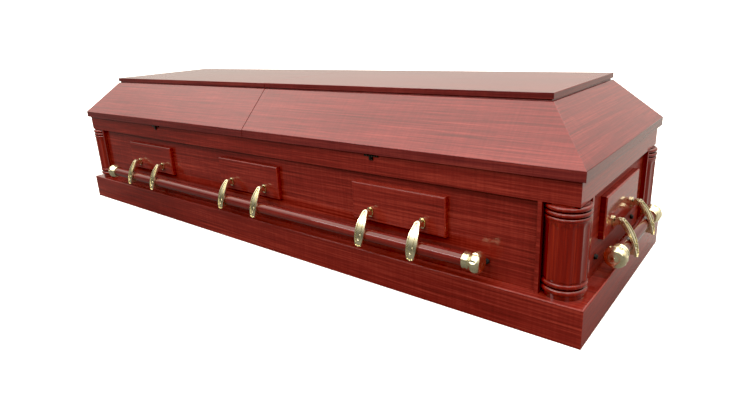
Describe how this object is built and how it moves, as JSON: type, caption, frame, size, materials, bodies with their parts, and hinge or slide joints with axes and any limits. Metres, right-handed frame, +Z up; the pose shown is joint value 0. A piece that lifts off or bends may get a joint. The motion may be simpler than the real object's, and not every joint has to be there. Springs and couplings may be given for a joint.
{
  "type": "funeral casket",
  "caption": "Wooden funeral casket on a plinth, with a hipped lid in two halves, fluted corner columns and swinging bar handles.",
  "frame": {"origin": "on the ground, under the middle of the plinth's outline", "axes": "+X along the casket towards the right end, -Y towards the front long side, +Z up"},
  "size_m": [2.1848, 0.7628, 0.508],
  "materials": {
    "mahogany": "high gloss lacquer",
    "column_wood": "high gloss lacquer",
    "bar_wood": "high gloss lacquer",
    "brass": "polished, pale"
  },
  "bodies": {
    "casket": {"plinth": "mahogany", "case": "mahogany", "left_lid": "mahogany", "right_lid": "mahogany", "front_left_column": "column_wood", "front_right_column": "column_wood", "back_left_column": "column_wood", "back_right_column": "column_wood", "front_block_1": "mahogany", "front_block_2": "mahogany", "front_block_3": "mahogany", "front_lug_1": "brass", "front_lug_2": "brass", "front_lug_3": "brass", "front_lug_4": "brass", "front_lug_5": "brass", "front_lug_6": "brass", "back_block_1": "mahogany", "back_block_2": "mahogany", "back_block_3": "mahogany", "back_lug_1": "brass", "back_lug_2": "brass", "back_lug_3": "brass", "back_lug_4": "brass", "back_lug_5": "brass", "back_lug_6": "brass", "right_end_block_1": "mahogany", "right_end_lug_1": "brass", "right_end_lug_2": "brass", "left_end_block_1": "mahogany", "left_end_lug_1": "brass", "left_end_lug_2": "brass"},
    "front_handle": {"front_bar": "bar_wood", "front_left_tip": "brass", "front_right_tip": "brass", "front_arm_1": "brass", "front_arm_2": "brass", "front_arm_3": "brass", "front_arm_4": "brass", "front_arm_5": "brass", "front_arm_6": "brass"},
    "back_handle": {"back_bar": "bar_wood", "back_left_tip": "brass", "back_right_tip": "brass", "back_arm_1": "brass", "back_arm_2": "brass", "back_arm_3": "brass", "back_arm_4": "brass", "back_arm_5": "brass", "back_arm_6": "brass"},
    "right_end_handle": {"right_end_bar": "bar_wood", "right_end_left_tip": "brass", "right_end_right_tip": "brass", "right_end_arm_1": "brass", "right_end_arm_2": "brass"},
    "left_end_handle": {"left_end_bar": "bar_wood", "left_end_left_tip": "brass", "left_end_right_tip": "brass", "left_end_arm_1": "brass", "left_end_arm_2": "brass"}
  },
  "joints": [
    {"name": "front_handle_hinge", "type": "hinge", "parent": "casket", "child": "front_handle", "pos_m": [0, -0.334, 0.2], "axis": [-1, 0, 0], "range_deg": [0, 75]},
    {"name": "back_handle_hinge", "type": "hinge", "parent": "casket", "child": "back_handle", "pos_m": [0, 0.334, 0.2], "axis": [1, 0, 0], "range_deg": [0, 75]},
    {"name": "right_end_handle_hinge", "type": "hinge", "parent": "casket", "child": "right_end_handle", "pos_m": [1.045, 0, 0.2], "axis": [0, -1, 0], "range_deg": [0, 75]},
    {"name": "left_end_handle_hinge", "type": "hinge", "parent": "casket", "child": "left_end_handle", "pos_m": [-1.045, 0, 0.2], "axis": [0, 1, 0], "range_deg": [0, 75]}
  ]
}
